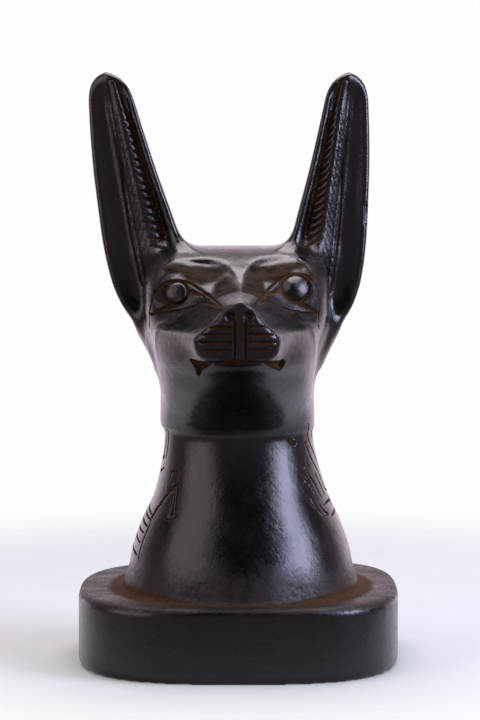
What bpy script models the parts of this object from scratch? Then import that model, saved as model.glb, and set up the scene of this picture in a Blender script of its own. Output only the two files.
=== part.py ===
"""Head of the jackal god Anubis on a neck and a low round base, carved from one block of black stone.

Metres, +Z up. The face looks along -Y and the origin is the centre of the flat underside.
The rough block is made of lofts that a voxel remesh joins. Every point of it is then moved onto the
carved surface, which form() describes, and the mesh is thinned out where the surface is plain.
"""

import math

import bmesh
import bpy
import numpy as np
from mathutils import Vector

# Base
BASE_WIDTH = 0.1300
BASE_DEPTH = 0.1280
BASE_HEIGHT = 0.0300
BASE_SQUARENESS = 2.9
BASE_SKEW = 0.07
BASE_TOP_ROUNDING = 0.0045
BASE_FOOT_ROUNDING = 0.0028

# Neck, from the base to the edge under the jaw. Fronts and backs are reaches from the middle.
NECK_HEIGHT = 0.0670
CHEST_WIDTH = 0.0970
CHEST_FRONT = 0.0570
CHEST_BACK = 0.0490
CHEST_SHIFT = 0.0010
NECK_WIDTH = 0.0596
NECK_FRONT = 0.0300
NECK_BACK = 0.0320
NECK_SQUARENESS = 2.15
NECK_FOOT_FILLET = 0.0020

# Head, whose heights are above the edge under the jaw
HEAD_HEIGHT = 0.0708
HEAD_WIDTH = 0.0746
HEAD_FRONT = 0.0320
HEAD_BACK = 0.0375
HEAD_SHIFT = -0.0008
HEAD_BACK_SQUARENESS = 2.4
CROWN_ROUNDING = 0.0100
JAW_EDGE_ROUNDING = 0.0016
MUZZLE_LENGTH = 0.0440
MUZZLE_WIDTH = 0.0322
MUZZLE_HEIGHT = 0.0239
MUZZLE_ROUNDING = 0.0050
MUZZLE_FILLET = 0.0080
NOSE_EDGE_ROUNDING = 0.0022
NOSE_BULGE_RADIUS = 0.0550
NOSTRIL_RADIUS = 0.0024
MOUTH_HEIGHT = 0.0306
MOUTH_WIDTH = 0.0370
MOUTH_DEPTH = 0.0016
CHIN_SETBACK = 0.0100
CHEEK_FILLET = 0.0050

# The face is carved a little out of true: its centre line is off the middle, one side is wider than
# the other, and one eye is higher.
FACE_SHIFT = 0.0008
FACE_SKEW = 0.08
FACE_TILT = 0.04

# Eyes and the carved lines of the face
EYE_SPACING = 0.0484
EYE_HEIGHT = 0.0556
EYE_LENGTH = 0.0240
IRIS_RADIUS = 0.0039
EYE_RING_WIDTH = 0.0022
LINE_WIDTH = 0.0022
CARVING_DEPTH = 0.0009

# Ears, with the viewer's left ear first. The root's height is above the edge under the jaw.
EAR_HEIGHT = 0.0990
EAR_WIDTHS = {-1: 0.0305, 1: 0.0292}
EAR_LEANS = {-1: math.radians(12.2), 1: math.radians(7.2)}
EAR_YAW = math.radians(12)
EAR_SPACING = 0.0646
EAR_ROOT_HEIGHT = 0.0430
EAR_SETBACK = 0.0060
EAR_SWEEP_BACK = 0.0060
EAR_THICKNESS = 0.0150
EAR_HOLLOW_DEPTH = 0.0040
EAR_TIP_ROUNDING = 0.0108
EAR_EDGE_ROUNDING = 0.0024
EAR_CROWN_FILLET = 0.0075
EAR_CHEEK_FILLET = 0.0020

# Mesh
RING_POINTS = 48
ROUGH_VOXEL = 0.0016
MOST_TRIANGLES = 9600

JAW_EDGE_Z = BASE_HEIGHT + NECK_HEIGHT
CROWN_Z = JAW_EDGE_Z + HEAD_HEIGHT
MOUTH_Z = JAW_EDGE_Z + MOUTH_HEIGHT
NOSE_TOP_Z = MOUTH_Z + MUZZLE_HEIGHT
EYE_Z = JAW_EDGE_Z + EYE_HEIGHT
EAR_ROOT_Z = JAW_EDGE_Z + EAR_ROOT_HEIGHT
NOSE_REACH = HEAD_FRONT + MUZZLE_LENGTH
CHIN_REACH = NOSE_REACH - CHIN_SETBACK

# The rows below hold shares of the sizes above, and run from the bottom up.
# height from base to jaw edge, share of the way from neck to chest: sides, front, back
NECK_ROWS = (
    (-0.15, 1.04, 1.03, 1.02),
    (0.00, 1.00, 1.00, 1.00),
    (0.12, 0.85, 0.84, 0.86),
    (0.24, 0.765, 0.68, 0.74),
    (0.39, 0.575, 0.51, 0.57),
    (0.54, 0.325, 0.34, 0.38),
    (0.69, 0.16, 0.18, 0.20),
    (0.84, 0.045, 0.07, 0.08),
    (1.00, 0.00, 0.00, 0.00),
)
# height from jaw edge to crown, share of the way from neck to head: sides, front, back, squareness
SKULL_ROWS = (
    (0.00, -0.04, 0.00, 0.00, 2.1),
    (0.13, 0.00, 0.05, 0.15, 2.2),
    (0.29, 0.20, 0.30, 0.50, 2.4),
    (0.46, 0.55, 0.75, 0.80, 2.8),
    (0.62, 0.95, 1.00, 1.00, 3.3),
    (0.77, 1.00, 0.95, 1.00, 3.4),
    (0.90, 0.90, 0.60, 0.80, 3.0),
    (1.05, 0.70, 0.20, 0.50, 2.6),
)
# from face front to back: share of head depth, drop of the top line as share of head height
CROWN_ROWS = (
    (-1.40, 0.248),
    (-0.95, 0.177),
    (-0.60, 0.099),
    (-0.20, 0.031),
    (0.15, 0.004),
    (0.50, 0.014),
    (0.80, 0.085),
    (1.10, 0.226),
)
# height from jaw edge to mouth: width as share of head's, reach from neck to chin, squareness
JAW_ROWS = (
    (-0.15, 0.77, -0.06, 2.0),
    (0.00, 0.785, 0.10, 2.0),
    (0.15, 0.79, 0.26, 1.95),
    (0.35, 0.80, 0.52, 1.85),
    (0.55, 0.82, 0.76, 1.75),
    (0.75, 0.84, 0.96, 1.65),
    (0.90, 0.85, 1.12, 1.60),
    (1.00, 0.86, 1.16, 1.60),
    (1.50, 0.90, 1.00, 1.60),
)
# height from mouth to nose top: width as share of the muzzle's, outward flare towards the cheek
MUZZLE_ROWS = (
    (-0.10, 0.80, 0.36),
    (0.00, 0.84, 0.37),
    (0.20, 0.97, 0.37),
    (0.39, 1.00, 0.36),
    (0.50, 0.84, 0.32),
    (0.66, 0.57, 0.26),
    (0.81, 0.43, 0.20),
    (1.00, 0.24, 0.16),
    (1.20, 0.10, 0.16),
)
# share of ear height: reach to the outer and inner edge and thickness, as shares of the ear's
EAR_ROWS = (
    (-0.20, 0.10, 1.05, 1.30),
    (-0.10, 0.52, 1.05, 1.25),
    (-0.05, 0.70, 1.06, 1.22),
    (0.00, 0.86, 1.06, 1.18),
    (0.05, 0.98, 1.06, 1.15),
    (0.10, 1.06, 1.06, 1.12),
    (0.20, 1.115, 1.05, 1.06),
    (0.30, 1.105, 1.02, 1.00),
    (0.43, 1.04, 0.91, 0.93),
    (0.58, 0.95, 0.77, 0.83),
    (0.73, 0.825, 0.66, 0.71),
    (0.88, 0.67, 0.57, 0.56),
    (1.02, 0.52, 0.50, 0.40),
)
# across the ear from inner to outer edge: depth below the rim, as share of the hollow
EAR_SECTION = (
    (-1.10, 0.25),
    (-0.96, 0.04),
    (-0.85, 0.00),
    (-0.72, 0.28),
    (-0.59, 1.00),
    (-0.47, 0.84),
    (-0.33, 0.26),
    (-0.18, 0.10),
    (0.00, 0.34),
    (0.12, 0.68),
    (0.17, 0.82),
    (0.24, 0.78),
    (0.48, 1.00),
    (0.70, 0.72),
    (0.85, 0.14),
    (0.94, 0.00),
    (1.10, 0.12),
)
# out from the iris and up, as shares of the eye's length, from its inner corner outwards
UPPER_LID = ((-0.67, -0.10), (-0.50, 0.06), (-0.25, 0.23), (0.0, 0.28), (0.21, 0.21), (0.34, 0.04))
LOWER_LID = ((-0.67, -0.13), (-0.44, -0.14), (-0.17, -0.27), (0.08, -0.33), (0.35, -0.37))
BROW = ((-0.38, 0.38), (-0.22, 0.45), (-0.05, 0.46), (0.12, 0.40), (0.28, 0.25), (0.40, 0.04), (0.43, -0.19))
# height above the mouth as share of the muzzle's, reach as share of half the muzzle's width
WHISKERS = ((0.55, 0.71), (0.44, 0.89), (0.30, 0.91), (0.18, 0.84))


def curve_value(at, rows, column):
    """The column's value at each place, on a smooth curve through the rows."""
    table = np.array(rows, float)
    stops, values = table[:, 0], table[:, column]
    slopes = np.gradient(values, stops)
    i = np.clip(np.searchsorted(stops, at) - 1, 0, len(stops) - 2)
    span = stops[i + 1] - stops[i]
    t = np.clip((at - stops[i]) / span, 0, 1)
    rise = values[i + 1] - values[i]
    start = t * (1 - t) ** 2 * slopes[i] * span
    end = t * t * (t - 1) * slopes[i + 1] * span
    return values[i] + rise * t * t * (3 - 2 * t) + start + end


def smooth_min(a, b, radius):
    """The lower of two distances, with a fillet of about this radius where they meet."""
    width = 1.17 * radius
    h = np.maximum(width - np.abs(a - b), 0) / width
    return np.minimum(a, b) - h * h * width / 4


def smooth_max(a, b, radius):
    return -smooth_min(-a, -b, radius)


def smooth_step(low, high, at):
    t = np.clip((at - low) / (high - low), 0, 1)
    return t * t * (3 - 2 * t)


def mix(a, b, share):
    return a + (b - a) * share


def oval(across, along, half_across, half_along, squareness):
    """Roughly the distance outside an oval. A squareness of 2 gives an ellipse."""
    q = (np.abs(across) / half_across) ** squareness + (np.abs(along) / half_along) ** squareness
    return (np.maximum(q, 1e-9) ** (1 / squareness) - 1) * np.minimum(half_across, half_along)


def section(x, y, half_width, front, back, squareness):
    """Roughly the distance outside a level section that reaches to -front and +back."""
    middle, half_depth = (back - front) / 2, (back + front) / 2
    return oval(x, y - middle, half_width, half_depth, squareness)


def base_form(x, y, z):
    """The base: an oval drum with a rounded top edge, whose back corner is a little out of square."""
    back = y - BASE_SKEW * x * smooth_step(-BASE_DEPTH / 4, BASE_DEPTH / 4, y)
    side = oval(x, back, BASE_WIDTH / 2, BASE_DEPTH / 2, BASE_SQUARENESS)
    capped = smooth_max(side, z - BASE_HEIGHT, BASE_TOP_ROUNDING)
    return smooth_max(capped, -z, BASE_FOOT_ROUNDING)


def neck_form(x, y, z):
    rise = np.clip((z - BASE_HEIGHT) / NECK_HEIGHT, -0.15, 1)
    half_width = mix(NECK_WIDTH, CHEST_WIDTH, curve_value(rise, NECK_ROWS, 1)) / 2
    front = mix(NECK_FRONT, CHEST_FRONT, curve_value(rise, NECK_ROWS, 2))
    back = mix(NECK_BACK, CHEST_BACK, curve_value(rise, NECK_ROWS, 3))
    shift = CHEST_SHIFT * smooth_step(JAW_EDGE_Z, JAW_EDGE_Z - NECK_HEIGHT / 2, z)
    neck = section(x - shift, y, half_width, front, back, NECK_SQUARENESS)
    below = BASE_HEIGHT / 2 - z
    above = z - JAW_EDGE_Z - HEAD_HEIGHT / 2
    return np.maximum(np.maximum(neck, below), above)


def skull_form(x, y, z):
    rise = np.clip((z - JAW_EDGE_Z) / HEAD_HEIGHT, 0, 1.05)
    half_width = mix(NECK_WIDTH, HEAD_WIDTH, curve_value(rise, SKULL_ROWS, 1)) / 2
    front = mix(NECK_FRONT, HEAD_FRONT, curve_value(rise, SKULL_ROWS, 2))
    back = mix(NECK_BACK, HEAD_BACK, curve_value(rise, SKULL_ROWS, 3))
    squareness = curve_value(rise, SKULL_ROWS, 4)
    behind = y > (back - front) / 2
    squareness[behind] = np.minimum(squareness[behind], HEAD_BACK_SQUARENESS)
    skull = section(x, y, half_width, front, back, squareness)
    depth = np.where(y < 0, y / HEAD_FRONT, y / HEAD_BACK)
    top = CROWN_Z - HEAD_HEIGHT * curve_value(np.clip(depth, -1.4, 1.1), CROWN_ROWS, 1)
    skull = smooth_max(skull, z - top, CROWN_ROUNDING)
    return np.maximum(skull, JAW_EDGE_Z - z)


def jaw_form(x, y, z):
    """The broad lower jaw and cheeks, from the edge above the neck up to the mouth and beyond."""
    rise = np.clip((z - JAW_EDGE_Z) / MOUTH_HEIGHT, -0.15, 1.5)
    half_width = curve_value(rise, JAW_ROWS, 1) * HEAD_WIDTH / 2
    front = mix(NECK_FRONT, CHIN_REACH, curve_value(rise, JAW_ROWS, 2))
    jaw = section(x, y, half_width, front, 0.6 * NECK_BACK, curve_value(rise, JAW_ROWS, 3))
    jaw = smooth_max(jaw, z - MOUTH_Z - 0.3 * MUZZLE_HEIGHT, CROWN_ROUNDING)
    return smooth_max(jaw, JAW_EDGE_Z - z, JAW_EDGE_ROUNDING)


def muzzle_form(x, y, z):
    """The upper muzzle: a blunt wedge with a narrow ridge on top and a flat nose in front."""
    rise = np.clip((z - MOUTH_Z) / MUZZLE_HEIGHT, -0.10, 1.20)
    behind = y + NOSE_REACH
    half_width = curve_value(rise, MUZZLE_ROWS, 1) * MUZZLE_WIDTH / 2
    half_width += curve_value(rise, MUZZLE_ROWS, 2) * np.clip(behind, -MUZZLE_LENGTH / 4, MUZZLE_LENGTH)
    side = 0.85 * (np.abs(x) - half_width)
    top = z - NOSE_TOP_Z - 0.03 * behind
    front = -behind + 0.10 * (NOSE_TOP_Z - z) + x * x / (2 * NOSE_BULGE_RADIUS)
    muzzle = smooth_max(side, top, MUZZLE_ROUNDING)
    muzzle = smooth_max(muzzle, MOUTH_Z - z, NOSE_EDGE_ROUNDING)
    muzzle = smooth_max(muzzle, front, NOSE_EDGE_ROUNDING)
    return np.maximum(muzzle, y + HEAD_FRONT / 3)


def ear_form(x, y, z, side):
    """An ear: hollow in front with a raised leaf along it, rounded behind."""
    lift = z - EAR_ROOT_Z
    share = lift / EAR_HEIGHT
    across = side * x - EAR_SPACING / 2 - lift * math.tan(EAR_LEANS[side])
    depth = y - EAR_SETBACK - EAR_SWEEP_BACK * share - math.tan(EAR_YAW) * across
    at = np.clip(share, -0.20, 1.02)
    outer = curve_value(at, EAR_ROWS, 1) * EAR_WIDTHS[side] / 2
    inner = curve_value(at, EAR_ROWS, 2) * EAR_WIDTHS[side] / 2
    thickness = curve_value(at, EAR_ROWS, 3) * EAR_THICKNESS
    reach = np.where(across > 0, outer, inner)
    place = np.clip(across / reach, -1.1, 1.1)
    fade = smooth_step(1.0, 0.86, share) * smooth_step(-0.06, 0.12, share)
    fade *= np.clip(2 * reach / EAR_WIDTHS[side], 0.3, 1)
    hollow = curve_value(place, EAR_SECTION, 1) * EAR_HOLLOW_DEPTH * fade
    front = hollow - depth - 0.30 * thickness
    back = depth - 0.70 * thickness * np.sqrt(np.clip(1 - 0.85 * place**2, 0.02, 1))
    outline = smooth_max(0.96 * (np.abs(across) - reach), lift - EAR_HEIGHT, EAR_TIP_ROUNDING)
    shell = smooth_max(smooth_max(front, back, EAR_EDGE_ROUNDING), outline, EAR_EDGE_ROUNDING)
    return np.maximum(shell, -lift - 0.17 * EAR_HEIGHT)


def face_frame(x, z):
    """Place on the face as if it were carved true: distance from the centre line, and height."""
    side = x - FACE_SHIFT
    true_x = side / np.where(side < 0, 1 + FACE_SKEW, 1 - FACE_SKEW)
    tilt = FACE_TILT * smooth_step(mix(MOUTH_Z, EYE_Z, 0.4), mix(MOUTH_Z, EYE_Z, 0.85), z)
    return true_x, z - tilt * x


def stroke(across, up, points, width):
    """1 on the middle of a smooth line through the points, falling to 0 at its edges."""
    rows = [(i, *point) for i, point in enumerate(points)]
    at = np.linspace(0, len(points) - 1, 6 * (len(points) - 1) + 1)
    line = np.stack([curve_value(at, rows, 1), curve_value(at, rows, 2)], 1)
    near = np.full(across.shape, np.inf)
    for start, end in zip(line[:-1], line[1:]):
        step = end - start
        t = (across - start[0]) * step[0] + (up - start[1]) * step[1]
        t = np.clip(t / (step @ step), 0, 1)
        near = np.minimum(near, np.hypot(across - start[0] - t * step[0], up - start[1] - t * step[1]))
    return 1 - smooth_step(0, width / 2, near)


def eye_relief(out, up):
    """Depth cut round an eye, from its iris: a ring, a domed iris, lids and brow."""
    from_iris = np.hypot(out, up)
    ring_middle = IRIS_RADIUS + EYE_RING_WIDTH / 2
    cut = 1 - smooth_step(0, EYE_RING_WIDTH / 2, np.abs(from_iris - ring_middle))
    cut -= 0.4 * (1 - smooth_step(0, IRIS_RADIUS, from_iris))
    out, up, width = out / EYE_LENGTH, up / EYE_LENGTH, LINE_WIDTH / EYE_LENGTH
    cut -= 0.7 * stroke(out, up, UPPER_LID, 1.3 * width)
    cut += 0.7 * stroke(out, up, LOWER_LID, width)
    cut -= stroke(out, up, BROW, 2 * width)
    return cut * CARVING_DEPTH


def nose_relief(aside, above):
    """Depth cut into the front of the muzzle: nostrils, the line below them, and whisker grooves."""
    from_nostril = np.hypot(aside - 1.7 * NOSTRIL_RADIUS, above - 0.74 * MUZZLE_HEIGHT)
    cut = 3 * (1 - smooth_step(NOSTRIL_RADIUS / 4, NOSTRIL_RADIUS, from_nostril))
    ridge = LINE_WIDTH
    cut += stroke(aside, above, ((ridge, 0.70 * MUZZLE_HEIGHT), (ridge, 0)), 0.7 * LINE_WIDTH)
    for height, reach in WHISKERS:
        line = ((2 * ridge, height * MUZZLE_HEIGHT), (reach * MUZZLE_WIDTH / 2, height * MUZZLE_HEIGHT))
        cut += stroke(aside, above, line, LINE_WIDTH)
    return cut * CARVING_DEPTH


def mouth_relief(aside, above):
    """Depth of the line between the lips, which ends in a notch that drops at each corner."""
    corner = MOUTH_WIDTH / 2
    line = ((0, 0), (corner / 2, 0), (corner, -LINE_WIDTH / 2))
    drop = ((0.90 * corner, -LINE_WIDTH / 2), (0.85 * corner, -2 * LINE_WIDTH))
    cut = stroke(aside, above, line, 1.5 * LINE_WIDTH)
    return MOUTH_DEPTH * np.maximum(cut, 0.8 * stroke(aside, above, drop, 2.2 * LINE_WIDTH))


def face_relief(x, y, z):
    """Depth cut into the face, and less than 0 where it stands proud."""
    true_x, height = face_frame(x, z)
    aside, above = np.abs(true_x), height - MOUTH_Z
    cut = eye_relief(aside - EYE_SPACING / 2, height - EYE_Z)
    cut += nose_relief(aside, above) + mouth_relief(aside, above)
    return cut * smooth_step(-0.3 * HEAD_FRONT, -0.5 * HEAD_FRONT, y)


def head_form(x, y, z):
    """Skull, jaw and muzzle with the carved face, and both ears."""
    face_x, _ = face_frame(x, z)
    skull, jaw = skull_form(x - HEAD_SHIFT, y, z), jaw_form(x - HEAD_SHIFT, y, z)
    head = smooth_min(skull, muzzle_form(face_x, y, z), MUZZLE_FILLET)
    behind_lips = smooth_step(-CHIN_REACH, -0.6 * CHIN_REACH, y)
    head = smooth_min(head, jaw, mix(JAW_EDGE_ROUNDING, CHEEK_FILLET, behind_lips))
    face = (y < -0.3 * HEAD_FRONT) & (z > JAW_EDGE_Z) & (z < CROWN_Z)
    head[face] += face_relief(x[face], y[face], z[face])
    near_crown = smooth_step(CROWN_Z - 2 * EAR_CROWN_FILLET, CROWN_Z, z)
    fillet = mix(EAR_CHEEK_FILLET, EAR_CROWN_FILLET, near_crown)
    for side in EAR_LEANS:
        head = smooth_min(head, ear_form(x, y, z, side), fillet)
    return head


def form(points):
    """Roughly the distance outside the carved surface at each point, less than 0 inside."""
    x, y, z = points.T
    value = smooth_min(neck_form(x, y, z), base_form(x, y, z), NECK_FOOT_FILLET)
    upper = z > JAW_EDGE_Z - 4 * JAW_EDGE_ROUNDING
    head = head_form(x[upper], y[upper], z[upper])
    value[upper] = smooth_min(head, value[upper], JAW_EDGE_ROUNDING)
    return value


def slope_of(points, value):
    """Which way the form rises at each point, and how fast."""
    step = ROUGH_VOXEL / 30
    slope = np.empty_like(points)
    for axis in range(3):
        moved = points.copy()
        moved[:, axis] += step
        slope[:, axis] = (form(moved) - value) / step
    return slope


def settle(mesh, rounds):
    """Moves every vertex onto the carved surface and evens out their spacing along it."""
    count = len(mesh.vertices)
    points = np.empty(count * 3)
    mesh.vertices.foreach_get("co", points)
    points = points.reshape(-1, 3)
    ends = np.empty(len(mesh.edges) * 2, np.int64)
    mesh.edges.foreach_get("vertices", ends)
    a, b = ends.reshape(-1, 2).T
    links = np.bincount(np.concatenate([a, b]), minlength=count)
    for turn in range(rounds):
        value = form(points)
        slope = slope_of(points, value)
        steep = np.maximum(np.linalg.norm(slope, axis=1), 0.3)[:, None]
        outward = slope / steep
        points = points - outward * np.clip(value[:, None] / steep, -ROUGH_VOXEL, ROUGH_VOXEL)
        if turn < rounds - 3:
            near = np.stack([np.bincount(a, points[b, axis], count) for axis in range(3)], 1)
            near += np.stack([np.bincount(b, points[a, axis], count) for axis in range(3)], 1)
            shift = near / links[:, None] - points
            points += 0.5 * (shift - outward * (shift * outward).sum(1, keepdims=True))
    points[np.abs(points[:, 2]) < ROUGH_VOXEL / 5, 2] = 0
    mesh.vertices.foreach_set("co", points.ravel())
    mesh.update()


def ring(front, back, half_width, z, squareness=2.0):
    """Points of a level oval that reaches to -front and +back."""
    points = []
    for i in range(RING_POINTS):
        turn = 2 * math.pi * i / RING_POINTS
        side = math.copysign(abs(math.cos(turn)) ** (2 / squareness), math.cos(turn))
        along = math.copysign(abs(math.sin(turn)) ** (2 / squareness), math.sin(turn))
        y = (back - front) / 2 + (back + front) / 2 * along
        points.append(Vector((half_width * side, y, z)))
    return points


def loft(name, rings):
    """A closed solid through rings of equal length, from the lowest to the highest."""
    work = bmesh.new()
    loops = [[work.verts.new(point) for point in points] for points in rings]
    for low, high in zip(loops, loops[1:]):
        for i in range(len(low)):
            j = (i + 1) % len(low)
            work.faces.new((low[i], low[j], high[j], high[i]))
    work.faces.new(loops[0][::-1])
    work.faces.new(loops[-1])
    mesh = bpy.data.meshes.new(name)
    work.to_mesh(mesh)
    work.free()
    made = bpy.data.objects.new(name, mesh)
    bpy.context.scene.collection.objects.link(made)
    return made


def rough_base():
    rings = []
    for z in (0, BASE_HEIGHT):
        rings.append(ring(BASE_DEPTH / 2, BASE_DEPTH / 2, BASE_WIDTH / 2, z, BASE_SQUARENESS))
    return loft("rough base", rings)


def rough_bust():
    """Neck and skull, as level ovals from inside the base up to the crown."""
    rings = []
    for rise, sides, front, back in NECK_ROWS[:-1]:
        rings.append(ring(
            mix(NECK_FRONT, CHEST_FRONT, front),
            mix(NECK_BACK, CHEST_BACK, back),
            mix(NECK_WIDTH, CHEST_WIDTH, sides) / 2,
            BASE_HEIGHT + rise * NECK_HEIGHT,
        ))
    for rise, sides, front, back, _ in SKULL_ROWS[:-1]:
        rings.append(ring(
            mix(NECK_FRONT, HEAD_FRONT, front),
            mix(NECK_BACK, HEAD_BACK, back),
            mix(NECK_WIDTH, HEAD_WIDTH, sides) / 2,
            JAW_EDGE_Z + rise * HEAD_HEIGHT,
        ))
    return loft("rough bust", rings)


def rough_jaw():
    rings = []
    for rise, width, reach, _ in JAW_ROWS[1:-1]:
        front = mix(NECK_FRONT, CHIN_REACH, reach)
        rings.append(ring(front, 0, 0.75 * width * HEAD_WIDTH / 2, JAW_EDGE_Z + rise * MOUTH_HEIGHT))
    return loft("rough jaw", rings)


def rough_muzzle():
    rings = []
    for rise, width, flare in MUZZLE_ROWS[1:-1]:
        half_width = width * MUZZLE_WIDTH / 2 + flare * MUZZLE_LENGTH / 3
        rings.append(ring(NOSE_REACH, 0, half_width, MOUTH_Z + rise * MUZZLE_HEIGHT))
    return loft("rough muzzle", rings)


def rough_ear(side):
    """An ear as level ovals, the last of them small and just under the tip."""
    rings = []
    for share, outer, inner, thick in EAR_ROWS[1:]:
        tip = share > 1
        share = 0.99 if tip else share
        half_width = (outer + inner) * EAR_WIDTHS[side] / (8 if tip else 4)
        half_depth = 0.42 * thick * EAR_THICKNESS
        points = ring(half_depth, half_depth, half_width, EAR_ROOT_Z + share * EAR_HEIGHT)
        axis = EAR_SPACING / 2 + share * EAR_HEIGHT * math.tan(EAR_LEANS[side])
        middle = (outer - inner) * EAR_WIDTHS[side] / 4
        behind = EAR_SETBACK + EAR_SWEEP_BACK * share + 0.15 * thick * EAR_THICKNESS
        for point in points:
            point.x += side * (axis + middle)
            point.y += behind + math.tan(EAR_YAW) * (side * point.x - axis)
        rings.append(points)
    return loft("rough ear", rings)


def join_rough(pieces):
    """One object from the rough pieces, made one closed skin by a voxel remesh."""
    bpy.ops.object.select_all(action="DESELECT")
    for piece in pieces:
        piece.select_set(True)
    bpy.context.view_layer.objects.active = pieces[0]
    bpy.ops.object.join()
    block = bpy.context.view_layer.objects.active
    skin = block.modifiers.new("skin", "REMESH")
    skin.mode = "VOXEL"
    skin.voxel_size = ROUGH_VOXEL
    bpy.ops.object.modifier_apply(modifier=skin.name)
    return block


def on_face_or_ear(place):
    on_face = place.y < -HEAD_FRONT / 2 and place.z > MOUTH_Z - MOUTH_HEIGHT / 3
    on_ear = place.z > EAR_ROOT_Z - EAR_HEIGHT / 10 and abs(place.x) > EAR_SPACING / 4
    return on_face or on_ear


def on_eye_or_mouth(place):
    aside, above = abs(place.x) - EYE_SPACING / 2, place.z - EYE_Z
    on_eye = math.hypot(aside, above) < 0.7 * EYE_LENGTH and place.y < -HEAD_FRONT / 2
    on_mouth = abs(place.z - MOUTH_Z) < MUZZLE_HEIGHT / 4 and abs(place.x) < 0.6 * MOUTH_WIDTH
    return on_eye or (on_mouth and place.y < -HEAD_FRONT)


def refine(mesh, wanted):
    """Halves the edges where the carving is finer than they are."""
    work = bmesh.new()
    work.from_mesh(mesh)
    fine = [edge for edge in work.edges if wanted((edge.verts[0].co + edge.verts[1].co) / 2)]
    bmesh.ops.subdivide_edges(work, edges=fine, cuts=1, use_grid_fill=True)
    bmesh.ops.triangulate(work, faces=[face for face in work.faces if len(face.verts) > 4])
    work.to_mesh(mesh)
    work.free()


def thin_out(statue):
    """Keeps the triangles where the surface bends and drops the rest."""
    statue.data.calc_loop_triangles()
    thin = statue.modifiers.new("thin out", "DECIMATE")
    thin.ratio = MOST_TRIANGLES / len(statue.data.loop_triangles)
    thin.use_collapse_triangulate = True
    bpy.ops.object.modifier_apply(modifier=thin.name)


def stone():
    """Black basalt, rubbed to a dull polish."""
    material = bpy.data.materials.new("black basalt")
    material.use_nodes = True
    shader = material.node_tree.nodes["Principled BSDF"]
    shader.inputs["Base Color"].default_value = (0.018, 0.016, 0.016, 1)
    shader.inputs["Roughness"].default_value = 0.32
    shader.inputs["Metallic"].default_value = 0.0
    return material


def carve():
    """The statue, from the rough block to the thinned out surface."""
    pieces = [rough_bust(), rough_base(), rough_jaw(), rough_muzzle()]
    pieces += [rough_ear(side) for side in EAR_LEANS]
    statue = join_rough(pieces)
    settle(statue.data, 8)
    for wanted in (on_face_or_ear, on_eye_or_mouth):
        refine(statue.data, wanted)
        settle(statue.data, 6)
    thin_out(statue)
    return statue


def main():
    for old in list(bpy.data.objects):
        bpy.data.objects.remove(old)
    statue = carve()
    statue.name = statue.data.name = "anubis_head"
    statue.data.shade_smooth()
    statue.data.materials.clear()
    statue.data.materials.append(stone())
    home = bpy.data.collections.new("anubis head statue")
    bpy.context.scene.collection.children.link(home)
    for collection in list(statue.users_collection):
        collection.objects.unlink(statue)
    home.objects.link(statue)


main()
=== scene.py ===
"""Looks of the head of Anubis: the fine carving, the polished black stone with earth left in its
cuts, and the studio. Metres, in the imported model's frame: the face looks along -Y, and the origin
is the centre of the flat underside.
"""

import math

import bmesh
import bpy
import numpy as np
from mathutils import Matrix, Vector

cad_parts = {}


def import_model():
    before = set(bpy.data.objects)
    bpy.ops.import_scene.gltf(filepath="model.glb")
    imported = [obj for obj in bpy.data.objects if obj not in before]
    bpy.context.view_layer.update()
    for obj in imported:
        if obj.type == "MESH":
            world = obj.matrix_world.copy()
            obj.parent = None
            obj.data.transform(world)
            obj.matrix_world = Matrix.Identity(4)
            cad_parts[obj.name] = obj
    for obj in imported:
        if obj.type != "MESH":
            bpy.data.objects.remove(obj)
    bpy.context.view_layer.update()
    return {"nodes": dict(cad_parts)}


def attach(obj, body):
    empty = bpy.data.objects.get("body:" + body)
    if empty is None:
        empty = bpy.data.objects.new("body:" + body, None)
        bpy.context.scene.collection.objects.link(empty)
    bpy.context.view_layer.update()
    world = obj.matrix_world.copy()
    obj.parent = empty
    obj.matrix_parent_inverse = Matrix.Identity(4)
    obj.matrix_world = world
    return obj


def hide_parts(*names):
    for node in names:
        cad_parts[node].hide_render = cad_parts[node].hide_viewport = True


NODE = "anubis_head"

# The sides of the statue: -1 is the viewer's left, and 1 the viewer's right.
SIDES = (-1, 1)

# The sizes below, down to the ear's section, are the solid's own, but for five forms that are a
# millimetre or two off it, and up to three at the ears' feet: the base's top edge is sharper, the
# jaw's edge softer, the front of the muzzle narrower and the ear's hollow flatter, and the ears run
# out into the cheeks in a wider curve.
# Base
BASE_WIDTH = 0.1300
BASE_DEPTH = 0.1280
BASE_HEIGHT = 0.0300
BASE_SQUARENESS = 2.9
BASE_SKEW = 0.07
BASE_TOP_ROUNDING = 0.0030
BASE_FOOT_ROUNDING = 0.0028

# Neck, from the base to the edge under the jaw. Fronts and backs are reaches from the middle.
NECK_HEIGHT = 0.0670
CHEST_WIDTH = 0.0970
CHEST_FRONT = 0.0570
CHEST_BACK = 0.0490
CHEST_SHIFT = 0.0010
NECK_WIDTH = 0.0596
NECK_FRONT = 0.0300
NECK_BACK = 0.0320
NECK_SQUARENESS = 2.15
NECK_FOOT_FILLET = 0.0020

# Head, whose heights are above the edge under the jaw
HEAD_HEIGHT = 0.0708
HEAD_WIDTH = 0.0746
HEAD_FRONT = 0.0320
HEAD_BACK = 0.0375
HEAD_SHIFT = -0.0008
HEAD_BACK_SQUARENESS = 2.4
CROWN_ROUNDING = 0.0100
JAW_EDGE_ROUNDING = 0.0036
MUZZLE_LENGTH = 0.0440
MUZZLE_WIDTH = 0.0322
MUZZLE_HEIGHT = 0.0239
MUZZLE_ROUNDING = 0.0050
MUZZLE_FILLET = 0.0080
NOSE_EDGE_ROUNDING = 0.0022
NOSE_BULGE_RADIUS = 0.0550
MOUTH_HEIGHT = 0.0306
MOUTH_WIDTH = 0.0370
CHIN_SETBACK = 0.0100
CHEEK_FILLET = 0.0050
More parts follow.
